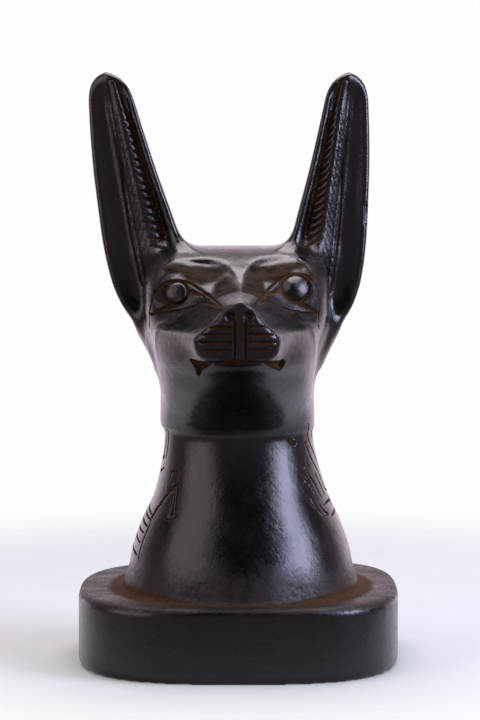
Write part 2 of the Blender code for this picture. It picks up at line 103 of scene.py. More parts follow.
# slopes of the muzzle's ridge and of the nose, and how the flare thins the distance from its sides
RIDGE_SLOPE = 0.03
NOSE_SLOPE = 0.10
MUZZLE_SIDE_SCALE = 0.85
# where the lips end, as a share of the chin's reach
LIPS_END = 0.6

# The face is carved a little out of true: its centre line is off the middle, one side is wider than
# the other, and one eye is higher.
FACE_SHIFT = 0.0008
FACE_SKEW = 0.08
FACE_TILT = 0.04
# where that tilt sets in and where it is full, as shares of the way from the mouth to the eyes
FACE_TILTS = (0.4, 0.85)

# Eyes
EYE_SPACING = 0.0484
EYE_HEIGHT = 0.0556
EYE_LENGTH = 0.0240

# Ears, with the viewer's left ear first. The root's height is above the edge under the jaw.
EAR_HEIGHT = 0.0990
EAR_WIDTHS = {-1: 0.0305, 1: 0.0292}
EAR_LEANS = {-1: math.radians(12.2), 1: math.radians(7.2)}
EAR_YAW = math.radians(12)
EAR_SPACING = 0.0646
EAR_ROOT_HEIGHT = 0.0430
EAR_SETBACK = 0.0060
EAR_SWEEP_BACK = 0.0060
EAR_THICKNESS = 0.0150
EAR_HOLLOW_DEPTH = 0.0040
EAR_TIP_ROUNDING = 0.0108
EAR_EDGE_ROUNDING = 0.0024
EAR_CROWN_FILLET = 0.0075
EAR_CHEEK_FILLET = 0.0020
# shares of an ear's thickness in front of its middle, and of its height below its root
EAR_FRONT_SHARE = 0.30
EAR_FOOT_SHARE = 0.17
# how round its back is and how thin at the edge, how much of the hollow is left where it is narrow,
# and how its outline's slant thins the distance from it
EAR_BACK_ROUNDNESS = 0.85
EAR_EDGE_LEFT = 0.02
EAR_NARROW_HOLLOW = 0.3
EAR_SIDE_SCALE = 0.96
# shares of its height between which the hollow fades out at the tip, and in at the root
EAR_TIP_FADE = (1.0, 0.86)
EAR_ROOT_FADE = (-0.05, 0.06)

JAW_EDGE_Z = BASE_HEIGHT + NECK_HEIGHT
CROWN_Z = JAW_EDGE_Z + HEAD_HEIGHT
MOUTH_Z = JAW_EDGE_Z + MOUTH_HEIGHT
NOSE_TOP_Z = MOUTH_Z + MUZZLE_HEIGHT
EYE_Z = JAW_EDGE_Z + EYE_HEIGHT
EAR_ROOT_Z = JAW_EDGE_Z + EAR_ROOT_HEIGHT
NOSE_REACH = HEAD_FRONT + MUZZLE_LENGTH
CHIN_REACH = NOSE_REACH - CHIN_SETBACK
# the back of the jaw's sections, and how far the cheeks rise above the mouth
JAW_BACK = 0.6 * NECK_BACK
JAW_TOP_RISE = 0.3 * MUZZLE_HEIGHT

# The rows below hold shares of the sizes above, and run from the bottom up.
# height from base to jaw edge, share of the way from neck to chest: sides, front, back
NECK_ROWS = (
    (-0.15, 1.04, 1.03, 1.02), (0.00, 1.00, 1.00, 1.00), (0.12, 0.85, 0.84, 0.86),
    (0.24, 0.765, 0.68, 0.74), (0.39, 0.575, 0.51, 0.57), (0.54, 0.325, 0.34, 0.38),
    (0.69, 0.16, 0.18, 0.20), (0.84, 0.045, 0.07, 0.08), (1.00, 0.00, 0.00, 0.00),
)
# height from jaw edge to crown, share of the way from neck to head: sides, front, back, squareness
SKULL_ROWS = (
    (0.00, -0.04, 0.00, 0.00, 2.1), (0.13, 0.00, 0.05, 0.15, 2.2), (0.29, 0.20, 0.30, 0.50, 2.4),
    (0.46, 0.55, 0.75, 0.80, 2.8), (0.62, 0.95, 1.00, 1.00, 3.3), (0.77, 1.00, 0.95, 1.00, 3.4),
    (0.90, 0.90, 0.60, 0.80, 3.0), (1.05, 0.70, 0.20, 0.50, 2.6),
)
# from face front to back: share of head depth, drop of the top line as share of head height
CROWN_ROWS = (
    (-1.40, 0.248), (-0.95, 0.177), (-0.60, 0.099), (-0.20, 0.031),
    (0.15, 0.004), (0.50, 0.014), (0.80, 0.085), (1.10, 0.226),
)
# height from jaw edge to mouth: width as share of head's, reach from neck to chin, squareness
JAW_ROWS = (
    (-0.15, 0.77, -0.06, 2.0), (0.00, 0.785, 0.10, 2.0), (0.15, 0.79, 0.26, 1.95),
    (0.35, 0.80, 0.52, 1.85), (0.55, 0.82, 0.76, 1.75), (0.75, 0.84, 0.96, 1.65),
    (0.90, 0.85, 1.12, 1.60), (1.00, 0.86, 1.16, 1.60), (1.50, 0.90, 1.00, 1.60),
)
# height from mouth to nose top: width as share of the muzzle's, outward flare towards the cheek
MUZZLE_ROWS = (
    (-0.10, 0.70, 0.36), (0.00, 0.75, 0.37), (0.20, 0.86, 0.37), (0.39, 0.87, 0.36),
    (0.50, 0.75, 0.32), (0.66, 0.53, 0.26), (0.81, 0.40, 0.20), (1.00, 0.24, 0.16),
    (1.20, 0.10, 0.16),
)
# share of ear height: reach to the outer and inner edge and thickness, as shares of the ear's
EAR_ROWS = (
    (-0.20, 0.10, 1.05, 1.30), (-0.10, 0.52, 1.05, 1.25), (-0.05, 0.70, 1.06, 1.22),
    (0.00, 0.86, 1.06, 1.18), (0.05, 0.98, 1.06, 1.15), (0.10, 1.06, 1.06, 1.12),
    (0.20, 1.115, 1.05, 1.06), (0.30, 1.105, 1.02, 1.00), (0.43, 1.04, 0.91, 0.93),
    (0.58, 0.95, 0.77, 0.83), (0.73, 0.825, 0.66, 0.71), (0.88, 0.67, 0.57, 0.56),
    (1.02, 0.52, 0.50, 0.40),
)
# across the ear from inner to outer edge: depth below the rim, as share of the hollow
EAR_SECTION = (
    (-1.10, 0.25), (-0.96, 0.04), (-0.85, 0.00), (-0.74, 0.28), (-0.62, 0.94),
    (-0.50, 0.82), (-0.35, 0.44), (-0.18, 0.17), (0.00, 0.35), (0.12, 0.62),
    (0.17, 0.82), (0.24, 0.78), (0.40, 0.84), (0.58, 0.66), (0.76, 0.34),
    (0.88, 0.10), (0.95, 0.00), (1.10, 0.12),
)

# how wide a band two forms are blended over, for each metre of the fillet's radius
FILLET_BAND = 1.17

# Fine mesh: its coarse spacing, the rounds that settle it on the form before and after it is
# refined, and how far each round evens it out
VOXEL = 0.0017
FIRST_ROUNDS = 6
LATER_ROUNDS = 4
EVENING = 0.5
SLOPE_STEP = VOXEL / 30
LEAST_SLOPE = 0.3
# Rays that find the form from in front of it, and the pieces of a smooth line through its points
FRONT_START = -0.095
RAY_STEPS = 45
RAY_CAUTION = 0.8
LINE_PIECES = 5
FORWARD = np.array([0.0, 1.0, 0.0])

# The hollow round each eye: an oval, out from the iris and up as shares of the eye's length
SOCKET_AT = (-0.33, -0.02)
SOCKET_REACH = (0.70, 0.52)
SOCKET_SQUARENESS = 2.3
SOCKET_DEPTH = 0.0024
SOCKET_WALL = (0.74, 1.04)
SOCKET_FADES = (-0.60, -0.12)
SOCKET_OUTER_SHARE = 0.55
SOCKET_OUTER_SPAN = (-0.5, 0.2)
SOCKET_FRONTS = (-0.15 * HEAD_FRONT, -0.45 * HEAD_FRONT)
EYE_BULGE = 0.0020
EYE_BULGE_AT = (-0.10, 0.10)
EYE_BULGE_REACH = (0.52, 0.36)
# where the ears run out into the cheeks: softer than the solid's, so that the light flows over it,
# and the heights and shares of the ear's height between which that sets in
EAR_FOOT_FILLET = 0.0120
EAR_FOOT_ROUNDING = 0.0055
EAR_FOOT_ZS = (EAR_ROOT_Z + 0.005, EAR_ROOT_Z - 0.009)
EAR_FOOT_SPAN = (-0.05, 0.05)

# Carved lines: where a groove's flat floor ends and where its earth thins out, as shares of half
# its width, and the depth from which a place counts as fully cut
GROOVE_PROFILE = 0.25
STAIN_PROFILE = (0.6, 1.6)
FULL_CUT = 0.0007
# where a round patch or hollow starts to fall off, as a share of its reach
PATCH_MIDDLE = 0.2

# Irises: each is a dome in a ring, whose floor slopes down to its outer wall
IRIS_RADII = {-1: 0.0040, 1: 0.0049}
IRIS_DOMES = {-1: 0.0005, 1: 0.0006}
IRIS_SLOPE_WIDTH = 0.0015
IRIS_WALL_WIDTH = 0.0005
IRIS_RING_DEPTH = 0.0015
# how far each iris is turned towards the nose and downwards, as slopes
IRIS_TURNS = {-1: (-0.08, -0.06), 1: (0.24, 0.10)}
# the most earth on an iris, and the shares of the ring's depth between which earth lies in it
IRIS_EARTH = 0.15
RING_EARTH = (0.2, 0.7)
# the scale of the lids' lines near each iris, and how far from it that fades out
EYE_SCALES = {-1: 0.95, 1: 1.10}
EYE_SCALE_REACH = (0.45 * EYE_LENGTH, 0.60 * EYE_LENGTH)

# Lines round an eye. Each is width and depth in metres, earth, how the width runs along it, and
# points: out from the iris and up, as shares of the eye's length. A depth below 0 stands proud.
EYE_LINES = (
    # upper lid: the groove, and the raised edge over it
    (0.0013, 0.0008, 0.9, (1,), (
        (-0.70, -0.15), (-0.54, -0.08), (-0.37, 0.05), (-0.20, 0.15), (0.0, 0.185), (0.16, 0.15),
        (0.25, 0.07))),
    (0.0014, -0.0005, 0.0, (0.6, 1, 1, 1, 0.7), (
        (-0.62, -0.03), (-0.49, 0.08), (-0.30, 0.20), (-0.11, 0.25), (0.06, 0.24), (0.21, 0.16),
        (0.32, 0.02), (0.37, -0.14))),
    (0.0009, 0.0004, 0.6, (0.5, 1, 0.5), (
        (-0.46, 0.17), (-0.28, 0.27), (-0.10, 0.315), (0.07, 0.305), (0.22, 0.23))),
    # lower lid: the groove, and the edge over it
    (0.0012, 0.0008, 1.0, (1,), (
        (-0.70, -0.17), (-0.55, -0.165), (-0.42, -0.195), (-0.30, -0.25), (-0.12, -0.32),
        (0.0, -0.35), (0.15, -0.39), (0.38, -0.425))),
    (0.0013, -0.0004, 0.0, (0.7, 1, 0.8), (
        (-0.56, -0.12), (-0.44, -0.135), (-0.29, -0.20), (-0.15, -0.26))),
    # the stroke that runs out from the iris, and the hollow at the inner corner
    (0.0018, 0.0004, 1.0, (1, 1, 0.5), ((0.06, -0.26), (0.17, -0.30), (0.33, -0.37))),
    (0.0030, 0.0006, 0.8, (1.1, 0.8, 0.4), ((-0.26, -0.03), (-0.35, -0.055), (-0.47, -0.08))),
    # rim of the face over the brow and down the side, and the line inside it
    (0.0030, -0.0008, 0.0, (0.1, 0.7, 1, 1, 1, 1, 0.7), (
        (0.04, 0.47), (0.14, 0.41), (0.24, 0.30), (0.33, 0.15), (0.40, -0.03), (0.435, -0.20),
        (0.45, -0.42), (0.45, -0.70), (0.42, -1.00))),
    (0.0011, 0.0006, 0.7, (0.4, 1, 1, 0.6), (
        (0.02, 0.38), (0.15, 0.29), (0.26, 0.14), (0.335, -0.02), (0.375, -0.18), (0.40, -0.38),
        (0.40, -0.66))),
)
# Front of the muzzle. Each is as above, but the points are aside from the middle as shares of half
# the muzzle's width, and up from the mouth as shares of its height.
MUZZLE_LINES = (
    (0.0012, 0.0010, 0.9, (1,), ((0.15, 0.74), (0.125, 0.62), (0.125, 0.40), (0.13, 0.02))),
    (0.0009, 0.0004, 0.4, (1, 0.5), ((0.34, 0.66), (0.42, 0.60), (0.50, 0.585))),
)
# nostrils: place as above, radius, and depth
NOSTRIL_AT = (0.225, 0.745)
NOSTRIL_RADIUS = 0.0027
NOSTRIL_DEPTH = 0.0020
# whisker grooves: height and reach as above for each, where they start, how they bow, their points,
# and their width, depth, earth and how the width runs
WHISKER_ROWS = ((0.555, 0.68), (0.432, 0.86), (0.307, 0.92), (0.182, 0.81))
WHISKER_START = 0.22
WHISKER_BOW = 0.012
WHISKER_POINTS = 7
WHISKER = (0.0017, 0.0008, 1.0, (0.7, 1, 1, 0.4))
# Mouth: half the width of the mouth is 1 across, and up is in metres from the mouth line.
LIP_LINE = (0.0019, 0.0011, 1.0, (1,), ((0.0, 0.0), (0.30, -0.0001), (0.58, -0.0004)))
LOWER_LIP = (0.0044, -0.0006, 0.0, (1, 1, 0.6), ((0.0, -0.0036), (0.28, -0.0037), (0.50, -0.0042)))
# The notch at each corner of the mouth: a long three-cornered one, and a blunt one
NOTCHES = {
    -1: (
        (0.0028, 0.0014, 1.0, (0.6, 1, 1), ((0.55, -0.0005), (0.72, -0.0009), (0.93, -0.0008))),
        (0.0042, 0.0014, 1.0, (0.5, 1), ((0.62, -0.0012), (0.84, -0.0026))),
        (0.0034, 0.0014, 1.0, (1.1, 0.45), ((0.80, -0.0026), (0.82, -0.0062))),
    ),
    1: (
        (0.0046, 0.0014, 1.0, (0.4, 0.8, 1), ((0.55, -0.0005), (0.74, -0.0014), (0.92, -0.0022))),
        (0.0034, 0.0014, 1.0, (1, 0.9), ((0.90, -0.0012), (0.92, -0.0032))),
    ),
}

# Ears: across is 1 at the outer edge and -1 at the inner one, up is a share of the ear's height.
EAR_LINES = (
    (0.0010, 0.0006, 0.8, (0.5, 0.8, 1, 1.1, 1), (
        (-0.10, 0.965), (0.06, 0.955), (0.10, 0.90), (0.13, 0.76), (0.17, 0.62), (0.23, 0.50),
        (0.26, 0.36), (0.27, 0.20), (0.25, 0.06))),
    (0.0016, 0.0010, 1.0, (0.5, 0.8, 1, 1.1, 1), (
        (-0.10, 0.965), (-0.34, 0.95), (-0.47, 0.84), (-0.58, 0.76), (-0.64, 0.64), (-0.64, 0.52),
        (-0.62, 0.41), (-0.63, 0.33))),
)
# the chipped place on the edge of the viewer's right ear
CHIP = (0.0036, 0.0012, 0.0, (1,), ((0.965, 0.445), (0.975, 0.41), (0.975, 0.38)))
# up and across along the ridge of the leaf, where the ticks start
EAR_RIDGE = ((0.22, -0.18), (0.34, -0.12), (0.52, -0.22), (0.64, -0.30), (0.84, -0.36))
TICKS = 18
TICK_POINTS = 5
TICK_SPANS = {-1: (0.285, 0.83), 1: (0.315, 0.83)}
TICK_DROPS = {-1: 0.008, 1: 0.034}
TICK_END = -0.60
FEATHER_SPAN = (0.12, 0.74)
FEATHER_REACH = (0.20, -0.08)
FEATHER_RISE = 0.080
# width, depth, earth and how the width runs
TICK = (0.0013, 0.0005, 0.9, (0.3, 1, 1.1, 0.9))
FEATHER = (0.0010, 0.00028, 0.25, (0.5, 1, 0.5))

# Neck: strokes in both sides, all of one width, depth, earth and run of the width. Each is points:
# degrees round from the side towards the front, and up as shares of the neck's height.
NECK_STROKE = (0.0010, 0.0005, 1.0, (0.6, 1, 1, 0.6))
NECK_LINES = {
    -1: (
        ((19, 0.99), (15, 0.88), (11, 0.79)), ((24, 0.97), (21, 0.86), (21, 0.80)),
        ((6, 0.79), (12, 0.78), (16, 0.80)), ((8, 0.70), (13, 0.71), (20, 0.73)),
        ((35, 0.67), (36, 0.72), (41, 0.73), (45, 0.71), (41, 0.69)),
        ((47, 0.68), (41, 0.62), (33, 0.54), (29, 0.46), (29, 0.38), (28, 0.30), (29, 0.20)),
        ((43, 0.66), (37, 0.59), (30, 0.51), (26, 0.43)), ((46, 0.70), (47, 0.61), (51, 0.47)),
        ((43, 0.62), (44, 0.55), (46, 0.47)), ((42, 0.455), (47, 0.455), (51, 0.47)),
        ((4, 0.50), (14, 0.48), (26, 0.46)), ((1, 0.47), (12, 0.45), (27, 0.43)),
        ((-2, 0.43), (12, 0.41), (27, 0.39)), ((-4, 0.38), (12, 0.36), (25, 0.35)),
        ((-6, 0.33), (12, 0.31), (25, 0.29)), ((-8, 0.27), (12, 0.24), (25, 0.22)),
        ((2, 0.53), (-2, 0.42), (-7, 0.30), (-12, 0.20)),
    ),
    1: (
        ((27, 1.00), (26, 0.96), (22, 0.89), (13, 0.80), (8, 0.74)),
        ((14, 0.98), (13, 0.93), (11, 0.90)),
        ((31, 0.90), (24, 0.79), (17, 0.71), (14, 0.66), (12, 0.60), (5, 0.58)),
        ((51, 0.93), (47, 0.89), (43, 0.90), (48, 0.92), (44, 0.93)),
        ((43, 0.78), (40, 0.77), (38, 0.74)), ((34, 0.79), (33, 0.76), (31, 0.73)),
        ((41, 0.70), (39, 0.67), (36, 0.65), (35, 0.59)),
        ((41, 0.70), (42, 0.66), (39, 0.64), (38, 0.67)),
        ((41, 0.57), (41, 0.54), (37, 0.50), (34, 0.46)),
        ((34, 0.56), (33, 0.52), (30, 0.48), (27, 0.47), (31, 0.46)),
        ((27, 0.52), (16, 0.53), (4, 0.52)), ((8, 0.55), (10, 0.52), (12, 0.50)),
        ((23, 0.45), (14, 0.46), (2, 0.47)), ((36, 0.72), (30, 0.64), (27, 0.56)),
        ((24, 0.70), (21, 0.63), (19, 0.57)),
    ),
}

# Earth in the hollows round the eyes, laid on thickly so that it is painted shade too, darkening
# the sockets: centre and reach, as shares of the eye's length, and strength
EYE_EARTH_AND_SHADE = (
    ((-0.44, 0.30), (0.62, 0.34), 1.10), ((-0.78, -0.06), (0.34, 0.50), 1.05),
    ((-0.02, 0.38), (0.50, 0.20), 0.95), ((-0.66, -0.42), (0.26, 0.34), 0.60),
)
# more earth and painted shade on the viewer's right, whose socket is darkened further
EYE_EARTH_AND_SHADE_SHARES = {-1: 1.0, 1: 1.25}
# where along the head's depth it sets in, and where it ends on the muzzle
EYE_EARTH_AND_SHADE_FRONTS = (-0.3 * HEAD_FRONT, -0.6 * HEAD_FRONT)
EYE_EARTH_AND_SHADE_ENDS = (-HEAD_FRONT - MUZZLE_LENGTH / 2, -HEAD_FRONT - MUZZLE_LENGTH / 4)
# how far the earth at the neck's foot reaches, in front and at the sides, how high it goes as a
# share of that, and how brightly it shows, as a share of a full cut's
FOOT_EARTH_WIDTHS = (0.0034, 0.0125)
FOOT_EARTH_SIDES = (0.15 * CHEST_WIDTH, 0.45 * CHEST_WIDTH)
FOOT_EARTH_RISE = 0.6
CREASE_CUT = 1.0
# the thin film of earth on the base's top and on the lowest part of the neck, and how high it goes
FILM_STRENGTH = 0.54
FILM_START = 0.002
FILM_HEIGHT = 0.027
# thin films round the eyes, which are earth and also painted shade that darkens and dulls them, on
# the whisker pad and on the leaf of each ear: strength, and place
EYE_FILM_AND_SHADE = 0.42
EYE_FILM_AND_SHADE_PATCH = ((-0.1, -0.1), (1.0, 0.65))
PAD_FILM = 0.40
PAD_DEPTH = 0.003
LEAF_FILM = 0.36
LEAF_FILM_PATCH = ((-0.1, 0.45), (0.75, 0.75))
# earth in the hollow at each ear's foot
EAR_FOOT_EARTH = 0.6
EAR_FOOT_PATCH = ((-0.35, 0.12), (0.75, 0.22))

# Stone and earth
STONE_DARK = (0.0012, 0.0010, 0.0012, 1)
STONE_LIGHT = (0.0048, 0.0040, 0.0045, 1)
STONE_SHEEN = (1.0, 0.88, 0.97, 1)
STONE_ROUGHNESS = (0.17, 0.28)
STONE_IOR = 1.58
EARTH_DARK = (0.0020, 0.0012, 0.0010, 1)
EARTH_LIGHT = (0.0340, 0.0160, 0.0072, 1)
EARTH_IN_CUTS = (0.0720, 0.0305, 0.0125, 1)
EARTH_ROUGHNESS = 0.80
STONE_GLOSS = 0.5
EARTH_GLOSS = 0.02
# noises: bumps to the metre, detail, and the share of the bumps along x, y and z
NOISE_ROUGHNESS = 0.6
MOTTLE = (90, 5)
GRAIN = (1400, 3)
RUBBED = (260, 4, (1, 1, 0.16))
FLECKS = (700, 2)
GRIME = (150, 6)
# fine marks that run aslant, both ways: degrees, and noise
RISING = (38, (1100, 4, (0.07, 0.07, 1)))
FALLING = (-52, (1000, 4, (0.07, 0.07, 1)))
# values of a noise between which the stone, the earth and the earth in the cuts lighten, and values
# of a sum of noises between which the polish wears off
STONE_LIGHTENS = (0.35, 0.70)
EARTH_LIGHTENS = (0.34, 0.66)
CUTS_LIGHTEN = (0.2, 0.6)
POLISH_WEARS = (0.75, 1.25)
# how ragged the earth's edges are, between which amounts it sets in, and how much it covers
EARTH_RAGGED = 0.36
EARTH_SHOWS = (0.20, 0.85)
EARTH_COVER = 0.94
# how much the grain, the fine marks, the mottle and the rubbed streaks raise the surface
BUMP_WEIGHTS = (0.8, 1.2, 3.6, 0.6)
BUMP_STRENGTH = 0.35
BUMP_HEIGHT = 0.00025

# Camera and studio, for a photograph 480 pixels wide and 720 high
CAMERA_AT = (0.0006, -1.250, 0.237)
CAMERA_AIM = (0.0006, 0.0, 0.1217)
LENS_MM = 154.3
SENSOR_MM = 36
PAPER_DARK = (0.50, 0.50, 0.51, 1)
PAPER_LIGHT = (0.55, 0.55, 0.56, 1)
PAPER_GRAIN = 60
PAPER_ROUGHNESS = 0.9
FLOOR_SIDES = 96
FLOOR_MIDDLE = (0.0, 0.13, 0.0)
FLOOR_FADE = (0.13, 0.33)
ROOM_COLOUR = (1.0, 0.85, 0.96, 1)
ROOM_LIGHT = 1.32
ROOM_DARK = (0.26, 0.02)
# how high a direction points where the dark side starts to darken further, and where it ends
ROOM_DEEPENS = (0.0, 0.72)
# how far a direction points to the camera's side where the room is still bright, and where dark
ROOM_DARKENS = (-0.86, -0.50)
# how high a direction points where the bright side starts and ends dimming, and the share left
ROOM_DIMS = (0.25, 0.80)
ROOM_TOP = 0.16
BACKDROP_COLOUR = (0.99, 0.99, 0.99, 1)
LIGHT_AIM = (0.0, 0.0, 0.12)
# azimuth to the right of the camera's side and elevation in degrees, distance, width, height, watts
SOFT_BOXES = (
    ("right box", 68, 27, 0.9, 0.44, 0.74, 10.5, (0.66, 0.78, 1.0)),
    ("left box", -62, 28, 0.9, 0.76, 1.00, 3.3, (1.0, 0.97, 0.94)),
    ("top box", 180, 76, 0.9, 0.90, 0.80, 12.5, (1.0, 0.96, 1.0)),
)


def curve_value(at, rows, column):
    """The column's value at each place, on a smooth curve through the rows, level beyond them."""
    table = np.array(rows, float)
    stops, values = table[:, 0], table[:, column]
    slopes = np.gradient(values, stops)
    i = np.clip(np.searchsorted(stops, at) - 1, 0, len(stops) - 2)
    span = stops[i + 1] - stops[i]
    t = np.clip((at - stops[i]) / span, 0, 1)
    rise = values[i + 1] - values[i]
    start = t * (1 - t) ** 2 * slopes[i] * span
    end = t * t * (t - 1) * slopes[i + 1] * span
    return values[i] + rise * t * t * (3 - 2 * t) + start + end


def smooth_min(a, b, radius):
    """The lower of two distances, with a fillet of about this radius where they meet."""
    width = FILLET_BAND * radius
    h = np.maximum(width - np.abs(a - b), 0) / width
    return np.minimum(a, b) - h * h * width / 4


def smooth_max(a, b, radius):
    return -smooth_min(-a, -b, radius)


def smooth_step(low, high, at):
    t = np.clip((at - low) / (high - low), 0, 1)
    return t * t * (3 - 2 * t)


def mix(a, b, share):
    return a + (b - a) * share


def distance(points, place):
    return np.linalg.norm(points - place, axis=1)


def fall_off(share):
    """1 in the middle of a round patch, falling to 0 at its edge, where the share is 1."""
    return 1 - smooth_step(PATCH_MIDDLE, 1, share)


def oval(across, along, half_across, half_along, squareness):
    """Roughly the distance outside an oval. A squareness of 2 gives an ellipse."""
    q = (np.abs(across) / half_across) ** squareness + (np.abs(along) / half_along) ** squareness
    return (np.maximum(q, 1e-9) ** (1 / squareness) - 1) * np.minimum(half_across, half_along)


def section(x, y, half_width, front, back, squareness):
    """Roughly the distance outside a level section that reaches to -front and +back."""
    middle, half_depth = (back - front) / 2, (back + front) / 2
    return oval(x, y - middle, half_width, half_depth, squareness)


def base_form(x, y, z):
    """The base: an oval drum with a rounded top edge, whose back is a little out of square."""
    back = y - BASE_SKEW * x * smooth_step(-BASE_DEPTH / 4, BASE_DEPTH / 4, y)
    side = oval(x, back, BASE_WIDTH / 2, BASE_DEPTH / 2, BASE_SQUARENESS)
    capped = smooth_max(side, z - BASE_HEIGHT, BASE_TOP_ROUNDING)
    return smooth_max(capped, -z, BASE_FOOT_ROUNDING)


def neck_form(x, y, z):
    rise = (z - BASE_HEIGHT) / NECK_HEIGHT
    half_width = mix(NECK_WIDTH, CHEST_WIDTH, curve_value(rise, NECK_ROWS, 1)) / 2
    front = mix(NECK_FRONT, CHEST_FRONT, curve_value(rise, NECK_ROWS, 2))
    back = mix(NECK_BACK, CHEST_BACK, curve_value(rise, NECK_ROWS, 3))
    shift = CHEST_SHIFT * smooth_step(JAW_EDGE_Z, JAW_EDGE_Z - NECK_HEIGHT / 2, z)
    neck = section(x - shift, y, half_width, front, back, NECK_SQUARENESS)
    below = BASE_HEIGHT / 2 - z
    above = z - JAW_EDGE_Z - HEAD_HEIGHT / 2
    return np.maximum(np.maximum(neck, below), above)


def skull_form(x, y, z):
    rise = (z - JAW_EDGE_Z) / HEAD_HEIGHT
    half_width = mix(NECK_WIDTH, HEAD_WIDTH, curve_value(rise, SKULL_ROWS, 1)) / 2
    front = mix(NECK_FRONT, HEAD_FRONT, curve_value(rise, SKULL_ROWS, 2))
    back = mix(NECK_BACK, HEAD_BACK, curve_value(rise, SKULL_ROWS, 3))
    squareness = curve_value(rise, SKULL_ROWS, 4)
    behind = y > (back - front) / 2
    squareness[behind] = np.minimum(squareness[behind], HEAD_BACK_SQUARENESS)
    skull = section(x, y, half_width, front, back, squareness)
    depth = np.where(y < 0, y / HEAD_FRONT, y / HEAD_BACK)
    top = CROWN_Z - HEAD_HEIGHT * curve_value(depth, CROWN_ROWS, 1)
    skull = smooth_max(skull, z - top, CROWN_ROUNDING)
    return np.maximum(skull, JAW_EDGE_Z - z)


def jaw_form(x, y, z):
    """The broad lower jaw and cheeks, from the edge above the neck up to the mouth and beyond."""
    rise = (z - JAW_EDGE_Z) / MOUTH_HEIGHT
    half_width = curve_value(rise, JAW_ROWS, 1) * HEAD_WIDTH / 2
    front = mix(NECK_FRONT, CHIN_REACH, curve_value(rise, JAW_ROWS, 2))
    jaw = section(x, y, half_width, front, JAW_BACK, curve_value(rise, JAW_ROWS, 3))
    jaw = smooth_max(jaw, z - MOUTH_Z - JAW_TOP_RISE, CROWN_ROUNDING)
    return smooth_max(jaw, JAW_EDGE_Z - z, JAW_EDGE_ROUNDING)


def muzzle_form(x, y, z):
    """The upper muzzle: a blunt wedge with a narrow ridge on top and a flat nose in front."""
    rise = (z - MOUTH_Z) / MUZZLE_HEIGHT
    behind = y + NOSE_REACH
    flared = np.clip(behind, -MUZZLE_LENGTH / 4, MUZZLE_LENGTH)
    half_width = curve_value(rise, MUZZLE_ROWS, 1) * MUZZLE_WIDTH / 2
    half_width += curve_value(rise, MUZZLE_ROWS, 2) * flared
    side = MUZZLE_SIDE_SCALE * (np.abs(x) - half_width)
    top = z - NOSE_TOP_Z - RIDGE_SLOPE * behind
    front = -behind + NOSE_SLOPE * (NOSE_TOP_Z - z) + x * x / (2 * NOSE_BULGE_RADIUS)
    muzzle = smooth_max(side, top, MUZZLE_ROUNDING)
    muzzle = smooth_max(muzzle, MOUTH_Z - z, NOSE_EDGE_ROUNDING)
    muzzle = smooth_max(muzzle, front, NOSE_EDGE_ROUNDING)
    return np.maximum(muzzle, y + HEAD_FRONT / 3)


def ear_frame(x, z, side):
    """Place on an ear: distance outwards from its middle line, and height above its root."""
    lift = z - EAR_ROOT_Z
    return side * x - EAR_SPACING / 2 - lift * math.tan(EAR_LEANS[side]), lift


def ear_reach(side, share, across):
    """How far the ear reaches from its middle line, at this share of its height."""
    outer = curve_value(share, EAR_ROWS, 1) * EAR_WIDTHS[side] / 2
    inner = curve_value(share, EAR_ROWS, 2) * EAR_WIDTHS[side] / 2
    return np.where(across > 0, outer, inner)


def ear_form(x, y, z, side):
    """An ear: hollow in front with a raised leaf along it, rounded behind."""
    across, lift = ear_frame(x, z, side)
    share = lift / EAR_HEIGHT
    depth = y - EAR_SETBACK - EAR_SWEEP_BACK * share - math.tan(EAR_YAW) * across
    thickness = curve_value(share, EAR_ROWS, 3) * EAR_THICKNESS
    reach = ear_reach(side, share, across)
    place = across / reach
    fade = smooth_step(*EAR_TIP_FADE, share) * smooth_step(*EAR_ROOT_FADE, share)
    fade *= np.clip(2 * reach / EAR_WIDTHS[side], EAR_NARROW_HOLLOW, 1)
    hollow = curve_value(place, EAR_SECTION, 1) * EAR_HOLLOW_DEPTH * fade
    front = hollow - depth - EAR_FRONT_SHARE * thickness
    bow = np.sqrt(np.clip(1 - EAR_BACK_ROUNDNESS * place**2, EAR_EDGE_LEFT, 1))
    back = depth - (1 - EAR_FRONT_SHARE) * thickness * bow
    outline = EAR_SIDE_SCALE * (np.abs(across) - reach)
    outline = smooth_max(outline, lift - EAR_HEIGHT, EAR_TIP_ROUNDING)
    edge = mix(EAR_FOOT_ROUNDING, EAR_EDGE_ROUNDING, smooth_step(*EAR_FOOT_SPAN, share))
    shell = smooth_max(smooth_max(front, back, edge), outline, edge)
    return np.maximum(shell, -lift - EAR_FOOT_SHARE * EAR_HEIGHT)


def face_tilt(height):
    """How steeply the level lines of the face slope at this height."""
    return FACE_TILT * smooth_step(*(mix(MOUTH_Z, EYE_Z, share) for share in FACE_TILTS), height)


def face_frame(x, z):
    """Place on the face as if it were carved true: distance from the centre line, and height."""
    side = x - FACE_SHIFT
    true_x = side / np.where(side < 0, 1 + FACE_SKEW, 1 - FACE_SKEW)
    return true_x, z - face_tilt(z) * x


def eye_frame(x, z):
    """Place by the nearer eye: out from its middle and up, as shares of its length."""
    true_x, height = face_frame(x, z)
    return (np.abs(true_x) - EYE_SPACING / 2) / EYE_LENGTH, (height - EYE_Z) / EYE_LENGTH


